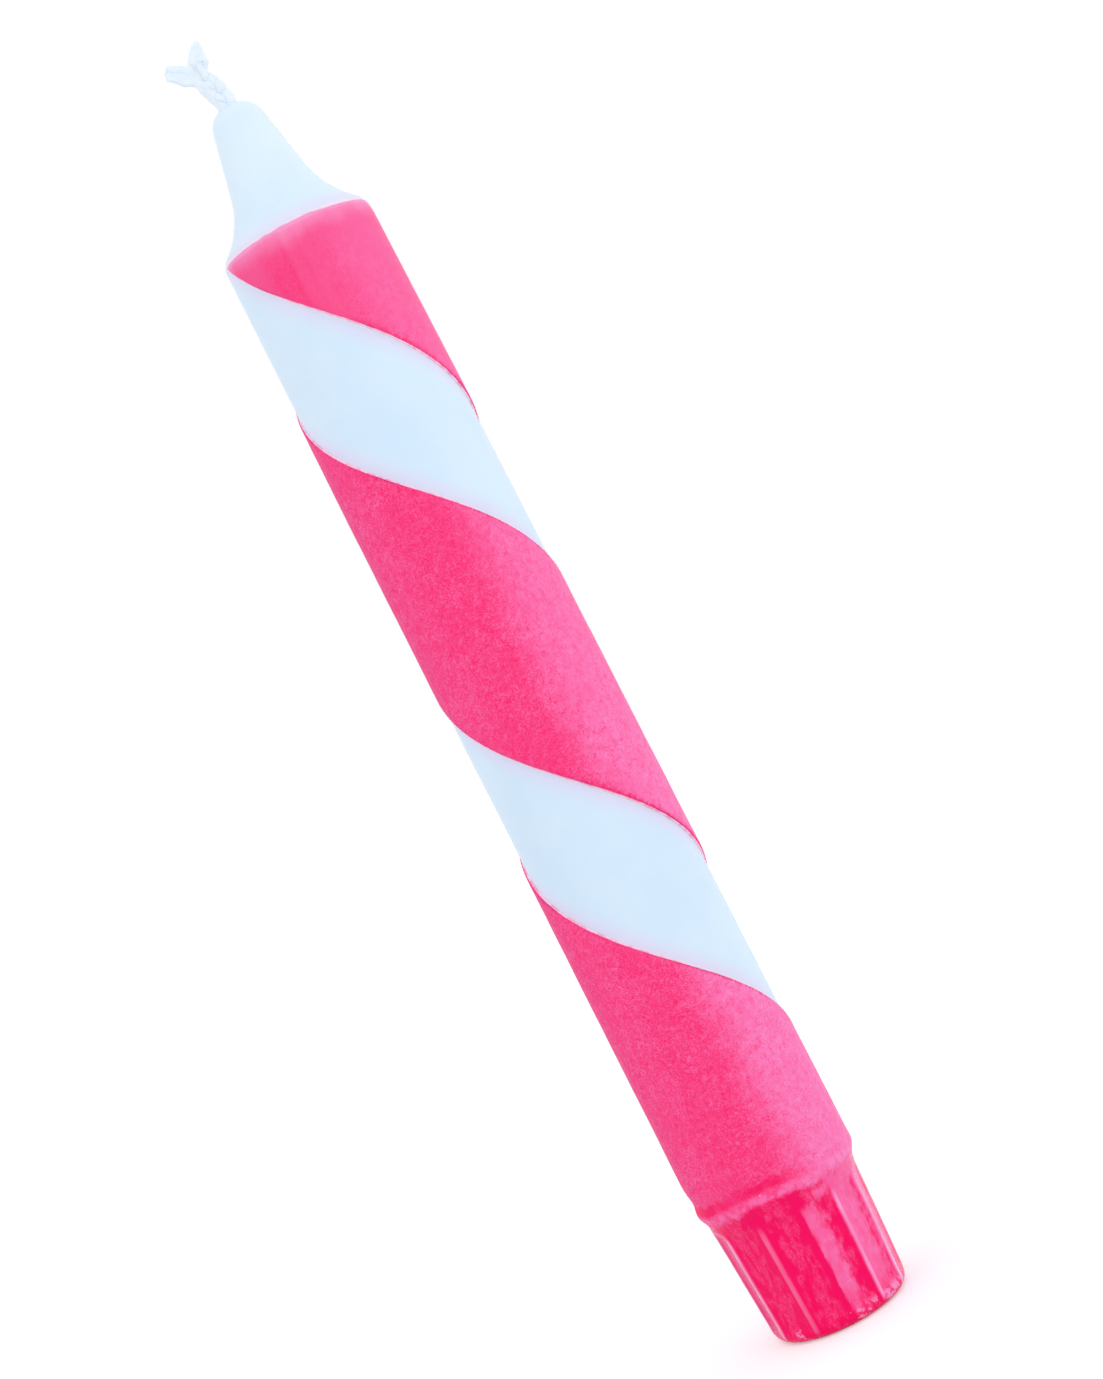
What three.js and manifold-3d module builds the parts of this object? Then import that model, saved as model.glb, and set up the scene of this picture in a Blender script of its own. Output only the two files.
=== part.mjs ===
// Striped taper candle, standing on its foot with the wick up. Sizes are in millimetres.
// The origin is at the middle of the base, +Z runs up the candle and -Y is its front.
import * as THREE from 'three';
import { mergeVertices } from 'three/addons/utils/BufferGeometryUtils.js';
import Module from 'manifold-3d';

const wasm = await Module();
wasm.setup();

// Angles are in radians, from the front and anticlockwise seen from above
const degree = Math.PI / 180;
const turn = 2 * Math.PI;
const quarterTurn = turn / 4;

// Straight taper
const taperHeight = 138;
const taperBottomRadius = 11.05;
const taperTopRadius = 10.45;

// Fluted foot that seats in a holder, set in from the taper by a step and drawn in towards the base
const footHeight = 17.3;
const footStep = 0.87;
const footDraft = 0.97;
const footTopRadius = taperBottomRadius - footStep;
const footBottomRadius = footTopRadius - footDraft;
const baseEdgeRadius = 1.7;
const fluteCount = 12;
const fluteDepth = 0.6;
const fluteRoundness = 0.7;
const fluteRunOut = 1.6;
const firstRidgeAngle = 8 * degree;

// Lip that leads from the foot out to the taper
const lipCrownRadius = 4.3;
const lipHollowRadius = 3.0;

// Shoulder, flare and pointed tip
const shoulderRadius = 2.0;
const flareRadius = 13.5;
const neckRadius = 5.4;
const coneHeight = 8.37;
const coneTopRadius = 3.7;
const domeRadius = 3.4;

// Coloured dip coat
const coatGap = 0.03;
const coatThickness = 0.43;
const coatTopThickness = 0.2;
const coatDrainLength = 35;
const coatAboveShoulder = 0.5;

// White stripe left bare by a tape wound round the taper before the dip
const stripePitch = 66.6;
const stripeHeight = 25.1;
const stripeBelowShoulder = 13.1;
const stripeAboveLip = 3.5;

// Plaited wick
const strandRadius = 0.48;
const strandGap = 0.08;
const plaitPitchInWax = 20;
const plaitPitchFree = 7.5;
const freePlaitTurns = 8 / 12;
const wickBendRadius = 8.5;
const wickRecess = 0.3;
const wickClearance = 0.1;

// Frayed ends of the strands: length past the plait, lean to the left of the line out to the tip, how
// far the end bows out to the left of that line and comes to the front by its tip, and half widths
const leftTuftLength = 5.05;
const leftTuftLean = 45 * degree;
const leftTuftBow = -0.75;
const leftTuftForward = 0.6;
const leftTuftHalfWidth = 1.35;
const leftTuftEndHalfWidth = 0.88;
const shortEndLength = 2.3;
const shortEndLean = -35 * degree;
const shortEndBow = 0.65;
const shortEndForward = 0;
const shortEndHalfWidth = 0.42;
const shortEndTipHalfWidth = 0.3;
const topTuftLength = 5.35;
const topTuftLean = -13 * degree;
const topTuftBow = 0.8;
const topTuftForward = -0.3;
const topTuftHalfWidth = 1.4;
const topTuftTipHalfWidth = 0.22;
const tuftHalfDepth = 0.42;
const tuftSwellShare = 0.2;
const tuftWidestShare = 0.4;

// How finely the round forms are divided
const columnsPerFlute = 5;
const columns = fluteCount * columnsPerFlute;
const columnAngle = turn / columns;
const taperRows = 4;
const stepsPerPlait = 12;
const stepsPerTuft = 7;
const strandSides = 5;

// Points of an arc in the radius and height plane, without its first point
function arc(centre, radius, from, to, steps) {
  const points = [];
  for (let step = 1; step <= steps; step += 1) {
    const angle = from + ((to - from) * step) / steps;
    points.push({
      radius: centre.radius + radius * Math.cos(angle),
      height: centre.height + radius * Math.sin(angle),
    });
  }
  return points;
}

// Closed body through a row of rings that turn right-handed about their direction of travel
function loft(rings) {
  const sides = rings[0].length;
  const positions = rings.flat().flatMap((point) => point.toArray());
  const indices = [];
  for (let ring = 0; ring + 1 < rings.length; ring += 1) {
    for (let side = 0; side < sides; side += 1) {
      const a = ring * sides + side;
      const b = ring * sides + ((side + 1) % sides);
      indices.push(a, b, b + sides, a, b + sides, a + sides);
    }
  }
  const last = (rings.length - 1) * sides;
  for (let side = 1; side + 1 < sides; side += 1) {
    indices.push(0, side + 1, side);
    indices.push(last, last + side, last + side + 1);
  }
  return bodyGeometry(positions, indices);
}

function bodyGeometry(positions, indices) {
  const geometry = new THREE.BufferGeometry();
  geometry.setAttribute('position', new THREE.Float32BufferAttribute(positions, 3));
  geometry.setIndex(indices);
  return geometry;
}

function toSolid(geometry) {
  const merged = mergeVertices(geometry);
  return new wasm.Manifold(new wasm.Mesh({
    numProp: 3,
    vertProperties: Float32Array.from(merged.attributes.position.array),
    triVerts: Uint32Array.from(merged.index.array),
  }));
}

function fromSolid(solid) {
  const mesh = solid.getMesh();
  return bodyGeometry(mesh.vertProperties, Array.from(mesh.triVerts));
}

// Share of the flute depth at a column, from 0 on a ridge to 1 in the middle of a flute
function fluteShare(column) {
  const across = (column % columnsPerFlute) / columnsPerFlute;
  return Math.sin(Math.PI * across) ** fluteRoundness;
}

// Closed body made by carrying a section round the axis, up its outside and down its inside.
// Its facets are split along the same diagonal both ways, so that a skin follows the body inside it.
function revolve(section) {
  const positions = [];
  const indices = [];
  section.forEach((corner, row) => {
    const nextRow = (row + 1) % section.length;
    const rising = section[nextRow].height > corner.height;
    for (let column = 0; column < columns; column += 1) {
      const angle = firstRidgeAngle + column * columnAngle;
      const radius = corner.radius - (corner.flute ?? 0) * fluteShare(column);
      positions.push(radius * Math.sin(angle), -radius * Math.cos(angle), corner.height);
      const nextColumn = (column + 1) % columns;
      const a = row * columns + column;
      const b = row * columns + nextColumn;
      const c = nextRow * columns + nextColumn;
      const d = nextRow * columns + column;
      indices.push(...(rising ? [a, b, c, a, c, d] : [a, b, d, b, c, d]));
    }
  });
  return bodyGeometry(positions, indices);
}

// Outline of the fluted foot, from the base edge up to where the flutes have run out
function footOutline() {
  const footRadiusAt = (height) =>
    footBottomRadius + ((footTopRadius - footBottomRadius) * height) / footHeight;
  const edge = {
    radius: footRadiusAt(baseEdgeRadius) - baseEdgeRadius,
    height: baseEdgeRadius,
  };
  const start = { radius: edge.radius, height: 0 };
  const corner = arc(edge, baseEdgeRadius, -quarterTurn, 0, 3);
  const outline = [start, ...corner].map((point) => ({ ...point, flute: fluteDepth }));
  const runOutRows = 3;
  for (let row = 0; row <= runOutRows; row += 1) {
    const share = row / runOutRows;
    const height = footHeight - fluteRunOut * (1 - share);
    const flute = fluteDepth * Math.cos(share * quarterTurn);
    outline.push({ radius: footRadiusAt(height), height, flute });
  }
  return outline;
}

// Outline of the lip, a hollow arc that turns out of the foot and a crown that turns into the taper
function lipOutline() {
  const lean = Math.acos(1 - footStep / (lipCrownRadius + lipHollowRadius));
  const hollow = { radius: footTopRadius + lipHollowRadius, height: footHeight };
  const lipTop = footHeight + (lipCrownRadius + lipHollowRadius) * Math.sin(lean);
  const crown = { radius: taperBottomRadius - lipCrownRadius, height: lipTop };
  return [
    ...arc(hollow, lipHollowRadius, Math.PI, Math.PI - lean, 2),
    ...arc(crown, lipCrownRadius, -lean, 0, 2),
  ];
}

// Outline of the straight taper
function taperOutline(bottom) {
  const outline = [];
  for (let row = 1; row <= taperRows; row += 1) {
    const share = row / taperRows;
    outline.push({
      radius: taperBottomRadius + (taperTopRadius - taperBottomRadius) * share,
      height: bottom + taperHeight * share,
    });
  }
  return outline;
}

// Outline of the tip: rounded shoulder, hollow flare, cone and a dome that ends at the wick
function tipOutline(bottom, wickChannelRadius) {
  const coneLean = Math.atan((neckRadius - coneTopRadius) / coneHeight);
  const fall = taperTopRadius - neckRadius;
  const reach = shoulderRadius + flareRadius * Math.cos(coneLean) - fall;
  const shoulderLean = Math.acos(reach / (shoulderRadius + flareRadius));
  const shoulder = { radius: taperTopRadius - shoulderRadius, height: bottom };
  const flare = {
    radius: neckRadius + flareRadius * Math.cos(coneLean),
    height: bottom + (shoulderRadius + flareRadius) * Math.sin(shoulderLean),
  };
  const coneTop = flare.height - flareRadius * Math.sin(coneLean) + coneHeight;
  const dome = {
    radius: coneTopRadius - domeRadius * Math.cos(coneLean),
    height: coneTop - domeRadius * Math.sin(coneLean),
  };
  const rim = Math.acos((wickChannelRadius - dome.radius) / domeRadius);
  return [
    ...arc(shoulder, shoulderRadius, 0, shoulderLean, 3),
    ...arc(flare, flareRadius, Math.PI + shoulderLean, Math.PI + coneLean, 6),
    { radius: coneTopRadius, height: coneTop },
    ...arc(dome, domeRadius, coneLean, rim, 4),
  ];
}

// Sway of a strand across the wick and its rise and fall through it, as the plait turns
const strandPitch = 2 * strandRadius + strandGap;
const plaitSway = 0.96 * strandPitch;
const plaitDepth = 0.78 * strandPitch;
const strandPhases = [180 * degree, 300 * degree, 60 * degree];

function plaitOffset(angle) {
  return { across: plaitSway * Math.cos(angle), through: plaitDepth * Math.sin(2 * angle) };
}

function wickReach() {
  let reach = 0;
  for (let step = 0; step < stepsPerPlait; step += 1) {
    const offset = plaitOffset((step / stepsPerPlait) * turn);
    reach = Math.max(reach, Math.hypot(offset.across, offset.through) + strandRadius);
  }
  return reach;
}

const wickChannelRadius = wickReach() + wickClearance;
const foot = footOutline();
const lip = lipOutline();
const lipTopHeight = lip.at(-1).height;
const taper = taperOutline(lipTopHeight);
const shoulderHeight = taper.at(-1).height;
const tip = tipOutline(shoulderHeight, wickChannelRadius);
const waxOutline = [...foot, ...lip, ...taper, ...tip];
const waxTopHeight = waxOutline.at(-1).height;

// The wax body has the wick channel bored right through it
function waxBody() {
  const channelBottom = { radius: wickChannelRadius, height: 0 };
  return revolve([...waxOutline, channelBottom]);
}

// Part of the wax outline that the dip reached, ending on the shoulder
function dippedOutline() {
  const coatTop = shoulderHeight + coatAboveShoulder;
  const dipped = waxOutline.filter((point) => point.height < coatTop);
  const below = dipped.at(-1);
  const above = waxOutline[dipped.length];
  const share = (coatTop - below.height) / (above.height - below.height);
  const radius = below.radius + (above.radius - below.radius) * share;
  return [...dipped, { radius, height: coatTop }];
}

function coatThicknessAt(height) {
  const drained = (shoulderHeight + coatAboveShoulder - height) / coatDrainLength;
  const share = Math.min(drained, 1);
  return coatTopThickness + (coatThickness - coatTopThickness) * share;
}

// Ribbon as wide as the tape, which cuts the stripe out of the coat
function stripeRibbon() {
  const lowerAtFront = shoulderHeight - stripeBelowShoulder - stripeHeight;
  const slope = stripePitch / turn;
  const upperHeight = (angle) => lowerAtFront + stripeHeight - slope * angle;
  const lowerHeight = (angle) => lowerAtFront - slope * angle;
  const coatTop = shoulderHeight + coatAboveShoulder;
  const startAngle = (lowerAtFront - coatTop) / slope - 2 * columnAngle;
  const endAngle = (lowerAtFront - lipTopHeight - stripeAboveLip) / slope;
  const firstColumn = Math.floor((startAngle - firstRidgeAngle) / columnAngle);
  const lastColumn = Math.round((endAngle - firstRidgeAngle) / columnAngle);
  const steepness = slope / taperBottomRadius;
  const squareShift = (stripeHeight * steepness) / (1 + steepness ** 2) / taperBottomRadius;
  const shift = Math.round(squareShift / columnAngle) * columnAngle;
  const innerRadius = taperTopRadius / 2;
  const outerRadius = (taperBottomRadius + coatThickness) * 1.5;
  const rings = [];
  for (let column = firstColumn; column <= lastColumn; column += 1) {
    const lowerAngle = firstRidgeAngle + column * columnAngle;
    const upperAngle = lowerAngle + shift;
    const upper = upperHeight(upperAngle);
    const lower = lowerHeight(lowerAngle);
    rings.push([
      pointAt(innerRadius, upperAngle, upper),
      pointAt(outerRadius, upperAngle, upper),
      pointAt(outerRadius, lowerAngle, lower),
      pointAt(innerRadius, lowerAngle, lower),
    ]);
  }
  return loft(rings);
}

function pointAt(radius, angle, height) {
  return new THREE.Vector3(radius * Math.sin(angle), -radius * Math.cos(angle), height);
}

// The coat is a skin over the dipped wax, with the stripe left out of it
function dipCoat() {
  const dipped = dippedOutline();
  const inside = dipped.map((point) => ({ ...point, radius: point.radius + coatGap }));
  const outside = dipped.map((point) => ({
    ...point,
    radius: point.radius + coatGap + coatThicknessAt(point.height),
  }));
  const sleeve = toSolid(revolve([...outside, ...inside.reverse()]));
  return fromSolid(sleeve.subtract(toSolid(stripeRibbon())));
}

// Frayed end of each strand, in the order of the strands
const frayedEnds = [
  {
    length: leftTuftLength,
    lean: leftTuftLean,
    bow: leftTuftBow,
    forward: leftTuftForward,
    halfWidth: leftTuftHalfWidth,
    tipHalfWidth: leftTuftEndHalfWidth,
  },
  {
    length: shortEndLength,
    lean: shortEndLean,
    bow: shortEndBow,
    forward: shortEndForward,
    halfWidth: shortEndHalfWidth,
    tipHalfWidth: shortEndTipHalfWidth,
  },
  {
    length: topTuftLength,
    lean: topTuftLean,
    bow: topTuftBow,
    forward: topTuftForward,
    halfWidth: topTuftHalfWidth,
    tipHalfWidth: topTuftTipHalfWidth,
  },
];

// Half width of a frayed end, which swells out of the strand, is widest near its middle and draws in
function frayedHalfWidth(end, share) {
  const marks = [
    [0, strandRadius],
    [tuftSwellShare, (strandRadius + end.halfWidth) / 2],
    [tuftWidestShare, end.halfWidth],
    [1, end.tipHalfWidth],
  ];
  const next = marks.findIndex(([mark]) => mark >= share);
  const [low, lowWidth] = marks[next - 1];
  const [high, highWidth] = marks[next];
  return lowWidth + ((highWidth - lowWidth) * (share - low)) / (high - low);
}

// Stations of a frayed end, along a line that bows out between the strand and the tip
function frayedStations(end, start) {
  const along = new THREE.Vector3(-Math.sin(end.lean), 0, Math.cos(end.lean));
  const leftward = new THREE.Vector3(-Math.cos(end.lean), 0, -Math.sin(end.lean));
  const forward = new THREE.Vector3(0, -1, 0);
  const stations = [];
  for (let step = 1; step <= stepsPerTuft; step += 1) {
    const share = step / stepsPerTuft;
    const halfWidth = frayedHalfWidth(end, share);
    stations.push({
      centre: start.clone()
        .addScaledVector(along, end.length * share)
        .addScaledVector(leftward, end.bow * 4 * share * (1 - share))
        .addScaledVector(forward, end.forward * share),
      halfWidth,
      halfDepth: Math.min(halfWidth, tuftHalfDepth),
    });
  }
  return stations;
}

// Middle line and half sizes of one strand, up the channel, round the bend and out to its frayed end
function strandStations(strand) {
  const waxRun = waxTopHeight - wickRecess;
  const waxSteps = Math.round((waxRun * stepsPerPlait) / plaitPitchInWax);
  const freeSteps = Math.round(freePlaitTurns * stepsPerPlait);
  const stations = [];
  for (let step = 0; step <= waxSteps + freeSteps; step += 1) {
    const stepsLeft = waxSteps + freeSteps - step;
    const offset = plaitOffset(strandPhases[strand] - (stepsLeft / stepsPerPlait) * turn);
    const risen = Math.min(step, waxSteps) / waxSteps;
    const freeRun = (Math.max(step - waxSteps, 0) * plaitPitchFree) / stepsPerPlait;
    const lean = freeRun / wickBendRadius;
    const centreX = -wickBendRadius * (1 - Math.cos(lean));
    const centreZ = wickRecess + waxRun * risen + wickBendRadius * Math.sin(lean);
    stations.push({
      centre: new THREE.Vector3(
        centreX + offset.across * Math.cos(lean),
        offset.through,
        centreZ + offset.across * Math.sin(lean),
      ),
      halfWidth: strandRadius,
      halfDepth: strandRadius,
    });
  }
  return [...stations, ...frayedStations(frayedEnds[strand], stations.at(-1).centre)];
}

function wickStrand(strand) {
  const stations = strandStations(strand);
  const depthAxis = new THREE.Vector3(0, 1, 0);
  const rings = stations.map((station, index) => {
    const before = stations[Math.max(index - 1, 0)].centre;
    const after = stations[Math.min(index + 1, stations.length - 1)].centre;
    const travel = after.clone().sub(before).normalize();
    const across = depthAxis.clone().cross(travel).normalize();
    const through = travel.clone().cross(across);
    const ring = [];
    for (let side = 0; side < strandSides; side += 1) {
      const angle = (side / strandSides) * turn;
      ring.push(station.centre.clone()
        .addScaledVector(across, station.halfWidth * Math.cos(angle))
        .addScaledVector(through, station.halfDepth * Math.sin(angle)));
    }
    return ring;
  });
  return loft(rings);
}

const whiteWax = new THREE.MeshStandardMaterial({ color: 0xdcefff, roughness: 0.42, metalness: 0 });
const pinkWax = new THREE.MeshStandardMaterial({ color: 0xf5447f, roughness: 0.4, metalness: 0 });
const wickCotton = new THREE.MeshStandardMaterial({ color: 0xd4e8fa, roughness: 0.7, metalness: 0 });

const candle = new THREE.Group();

function addPiece(name, geometry, material) {
  const piece = new THREE.Mesh(geometry, material);
  piece.name = name;
  candle.add(piece);
}

addPiece('wax_body', waxBody(), whiteWax);
addPiece('dip_coat', dipCoat(), pinkWax);
strandPhases.forEach((phase, strand) => {
  addPiece(`wick_strand_${strand + 1}`, wickStrand(strand), wickCotton);
});

export default candle;
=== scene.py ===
# Striped taper candle, standing on its foot with the wick up. Lengths are in metres.
# The origin is at the middle of the base, +Z runs up the candle and -Y is its front.
import math

import bmesh
import bpy
from mathutils import Matrix, Vector, noise


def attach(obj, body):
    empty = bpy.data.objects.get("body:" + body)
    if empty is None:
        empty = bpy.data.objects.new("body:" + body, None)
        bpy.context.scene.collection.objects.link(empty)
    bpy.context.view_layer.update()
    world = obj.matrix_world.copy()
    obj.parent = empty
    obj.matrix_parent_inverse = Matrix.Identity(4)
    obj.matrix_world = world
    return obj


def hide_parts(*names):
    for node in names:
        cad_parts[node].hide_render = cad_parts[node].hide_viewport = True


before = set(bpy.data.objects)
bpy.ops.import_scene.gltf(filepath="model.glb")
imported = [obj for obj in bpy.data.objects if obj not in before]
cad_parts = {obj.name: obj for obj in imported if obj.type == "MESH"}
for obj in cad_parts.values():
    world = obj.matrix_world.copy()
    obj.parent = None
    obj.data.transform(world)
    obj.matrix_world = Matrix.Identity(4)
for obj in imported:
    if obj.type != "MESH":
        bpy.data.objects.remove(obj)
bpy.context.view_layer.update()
mm = 0.001


# Camera
# It looks level along +Y at the front of the candle, and is rolled so that the candle leans across
# the picture from top left to bottom right.
camera_place = (3.0 * mm, -310.0 * mm, 90.6 * mm)
camera_roll = math.radians(26.934)
camera_lens = 61.09

camera_data = bpy.data.cameras.new("camera")
camera_data.lens = camera_lens
camera_data.sensor_width = 36
camera_data.clip_start = 0.01
camera_data.clip_end = 50
camera = bpy.data.objects.new("camera", camera_data)
look_along_y = Matrix.Rotation(math.radians(90), 4, "X")
rolled = Matrix.Rotation(-camera_roll, 4, "Z")
camera.matrix_world = Matrix.Translation(camera_place) @ look_along_y @ rolled
bpy.context.scene.collection.objects.link(camera)
bpy.context.scene.camera = camera
bpy.context.scene.view_settings.view_transform = "Standard"


# Studio light
# A tall soft lamp stands to the right of the camera, and narrow ones to its left and on each side of the
# candle draw the edges of its ridges. Everything else is an even white surrounding.
lamp_aim_height = 90 * mm
around_colour = (0.985, 0.98, 1.0, 1)
around_strength = 0.99
white = (1, 1, 1, 1)


def add_lamp(name, angle, height, distance, width, tall, power, colour):
    lamp = bpy.data.lights.new(name, "AREA")
    lamp.shape = "RECTANGLE"
    lamp.size = width
    lamp.size_y = tall
    lamp.energy = power
    lamp.color = colour
    stand = bpy.data.objects.new(name, lamp)
    place = Vector((distance * math.sin(angle), -distance * math.cos(angle), height))
    aim = Vector((0, 0, lamp_aim_height)) - place
    stand.matrix_world = Matrix.Translation(place) @ aim.to_track_quat("-Z", "Y").to_matrix().to_4x4()
    stand.visible_camera = False
    bpy.context.scene.collection.objects.link(stand)


add_lamp("key_lamp", math.radians(40), height=0.22, distance=0.62,
         width=0.20, tall=0.50, power=0.42, colour=(0.97, 0.97, 1.0))
add_lamp("front_lamp", math.radians(-44), height=0.14, distance=0.60,
         width=0.03, tall=0.45, power=0.20, colour=(1.0, 0.98, 1.0))
add_lamp("left_lamp", math.radians(-106), height=0.12, distance=0.50,
         width=0.02, tall=0.45, power=0.07, colour=(0.62, 0.56, 1.0))
add_lamp("right_lamp", math.radians(108), height=0.12, distance=0.50,
         width=0.10, tall=0.45, power=0.15, colour=(0.88, 0.90, 1.0))


def add_node(tree, kind, inputs=None, **settings):
    """A node with its settings, and with its inputs set to values or fed by other nodes' sockets."""
    made = tree.nodes.new(kind)
    for name, value in settings.items():
        setattr(made, name, value)
    for name, value in (inputs or {}).items():
        if isinstance(value, bpy.types.NodeSocket):
            tree.links.new(value, made.inputs[name])
        else:
            made.inputs[name].default_value = value
    return made


def tree_of(*values):
    """The node tree that the first socket among the values belongs to."""
    return next(value for value in values if isinstance(value, bpy.types.NodeSocket)).id_data


def add_math(operation, first, second=0.0, third=0.0, clamp=False):
    tree = tree_of(first, second)
    inputs = {0: first, 1: second, 2: third}
    return add_node(tree, "ShaderNodeMath", inputs, operation=operation, use_clamp=clamp).outputs[0]


def multiply(first, second):
    return add_math("MULTIPLY", first, second)


def plus(first, second):
    return add_math("ADD", first, second)


def add_mix(share, first, second):
    """Colour that goes from the first to the second as the share goes from 0 to 1."""
    inputs = {0: share, 6: first, 7: second}
    return add_node(tree_of(share, first, second), "ShaderNodeMix", inputs, data_type="RGBA").outputs[2]


def add_ramp(value, low, high, low_out=0.0, high_out=1.0):
    """Value carried smoothly from one range to another, and held at its ends."""
    inputs = {0: value, 1: low, 2: high, 3: low_out, 4: high_out}
    ranged = add_node(tree_of(value), "ShaderNodeMapRange", inputs, interpolation_type="SMOOTHSTEP")
    return ranged.outputs[0]


def spread(share, low, high):
    """Value that goes smoothly from low to high as a share goes from 0 to 1."""
    return add_ramp(share, 0, 1, low, high)


def add_spot(place, centre, radius):
    """1 in a small round spot and 0 outside it."""
    inputs = {0: place, 1: centre}
    apart = add_node(tree_of(place), "ShaderNodeVectorMath", inputs, operation="DISTANCE")
    return add_ramp(apart.outputs["Value"], radius, radius / 2)


def seen_as_white(tree):
    """1 for what the camera sees, and for what gloss and clear parts show, and 0 for the light itself."""
    path = add_node(tree, "ShaderNodeLightPath").outputs
    seen = add_math("MAXIMUM", path["Is Camera Ray"], path["Is Glossy Ray"])
    return add_math("MAXIMUM", seen, path["Is Transmission Ray"])


world = bpy.data.worlds.new("studio")
bpy.context.scene.world = world
world.use_nodes = True
world_tree = world.node_tree
world_tree.nodes.clear()
white_share = seen_as_white(world_tree)
background = add_node(world_tree, "ShaderNodeBackground", {
    "Color": add_mix(white_share, around_colour, white),
    "Strength": spread(white_share, around_strength, 1.0),
})
add_node(world_tree, "ShaderNodeOutputWorld", {"Surface": background.outputs[0]})


# Floor
# A plain white table top. It keeps the candle's soft shadow, and is as white as the surrounding elsewhere.
floor_size = 6.0
floor_colour = (0.8, 0.8, 0.8, 1)
floor_glow_strength = 0.32

floor_mesh = bmesh.new()
bmesh.ops.create_grid(floor_mesh, x_segments=1, y_segments=1, size=floor_size / 2)
floor_data = bpy.data.meshes.new("floor")
floor_mesh.to_mesh(floor_data)
floor_mesh.free()
floor = bpy.data.objects.new("floor", floor_data)
bpy.context.scene.collection.objects.link(floor)

floor_finish = bpy.data.materials.new("white_table")
floor_finish.use_nodes = True
floor_tree = floor_finish.node_tree
floor_tree.nodes.clear()
floor_coat = add_node(floor_tree, "ShaderNodeBsdfDiffuse", {"Color": floor_colour})
floor_glow = add_node(floor_tree, "ShaderNodeEmission", {
    "Color": white,
    "Strength": multiply(seen_as_white(floor_tree), floor_glow_strength),
})
floor_parts = {0: floor_coat.outputs[0], 1: floor_glow.outputs[0]}
floor_sum = add_node(floor_tree, "ShaderNodeAddShader", floor_parts)
add_node(floor_tree, "ShaderNodeOutputMaterial", {"Surface": floor_sum.outputs[0]})
floor.data.materials.append(floor_finish)


# Wax body
# One casting of white candle wax: a straight taper with a pointed tip and a fluted foot that seats in a
# holder. The wick runs through its middle, and its cut end sits in a small pit in the base.
taper_height = 138 * mm
taper_bottom_radius = 11.05 * mm
taper_top_radius = 10.45 * mm

foot_height = 17.3 * mm
foot_step = 0.87 * mm
foot_draft = 0.97 * mm
foot_top_radius = taper_bottom_radius - foot_step
foot_bottom_radius = foot_top_radius - foot_draft
base_edge_radius = 1.7 * mm
base_middle_radius = foot_bottom_radius / 2
flute_count = 12
flute_depth = 0.6 * mm
flute_roundness = 0.7
ridge_roundness = 0.15
flute_run_out = 1.6 * mm
flute_start_height = 0.4 * mm
flute_full_height = 3.2 * mm
first_ridge_angle = math.radians(5)
left_ridge_turn = math.radians(7)
left_ridge_angle = math.radians(-62)
left_ridge_reach = math.radians(27)
foot_lean = math.radians(1)

lip_crown_radius = 4.3 * mm
lip_hollow_radius = 3.0 * mm
lip_lean = math.acos(1 - foot_step / (lip_crown_radius + lip_hollow_radius))
lip_top = foot_height + (lip_crown_radius + lip_hollow_radius) * math.sin(lip_lean)
waist_height = lip_top + 0.6 * mm
waist_half_height = 1.5 * mm
waist_depth = 0.34 * mm
waist_top = lip_top + 3 * waist_half_height

shoulder_height = lip_top + taper_height
shoulder_radius = 2.0 * mm
flare_radius = 13.5 * mm
neck_radius = 5.4 * mm
cone_height = 8.37 * mm
cone_top_radius = 3.7 * mm
dome_radius = 3.4 * mm
cone_lean = math.atan((neck_radius - cone_top_radius) / cone_height)
shoulder_reach = shoulder_radius + flare_radius * math.cos(cone_lean) - (taper_top_radius - neck_radius)
shoulder_lean = math.acos(shoulder_reach / (shoulder_radius + flare_radius))

wick_hug_radius = 0.5 * mm
wick_pit_radius = 1.6 * mm
wick_pit_depth = 0.9 * mm

stripe_pitch = 66.6 * mm
stripe_height = 25.1 * mm
stripe_below_shoulder = 13.1 * mm
stripe_above_lip = 3.5 * mm
coat_top = shoulder_height + 0.5 * mm

flute_columns = 13
columns = flute_count * flute_columns
column_angle = math.tau / columns
row_height = stripe_pitch / columns

# The stripe falls as it winds to the right, and its rise is a whole number of rows
tape_rise = row_height * round(stripe_height / row_height)
stripe_fall = stripe_pitch / math.tau
stripe_tilt = math.atan(stripe_fall / taper_bottom_radius)
stripe_low_at_front = shoulder_height - stripe_below_shoulder - stripe_height
stripe_lower_end = lip_top + stripe_above_lip
stripe_end_angle = first_ridge_angle + column_angle * round(
    ((stripe_low_at_front - stripe_lower_end) / stripe_fall - first_ridge_angle) / column_angle)

level_tolerance = 0.01 * mm
weld_distance = 0.001 * mm
sharp_angle = math.radians(50)
ridge_tolerance = 0.01


def draw_run(profile, tip, radius, height, rows):
    """Carries the end of the outline on in a straight line."""
    step = (Vector((radius, 0, height)) - tip.co) / rows
    made = bmesh.ops.spin(profile, geom=[tip], axis=(0, -1, 0), dvec=step, angle=0, steps=rows)
    return made["geom_last"][0]


def draw_arc(profile, tip, centre_radius, centre_height, angle, rows):
    """Carries the end of the outline on along an arc, anticlockwise with the radius to the right."""
    centre = (centre_radius, 0, centre_height)
    made = bmesh.ops.spin(profile, geom=[tip], cent=centre, axis=(0, -1, 0), angle=angle, steps=rows)
    return made["geom_last"][0]


def foot_radius_at(height):
    return foot_bottom_radius + (foot_top_radius - foot_bottom_radius) * height / foot_height


def taper_radius_at(height):
    growth = taper_top_radius - taper_bottom_radius
    return taper_bottom_radius + growth * (height - lip_top) / taper_height


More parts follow.
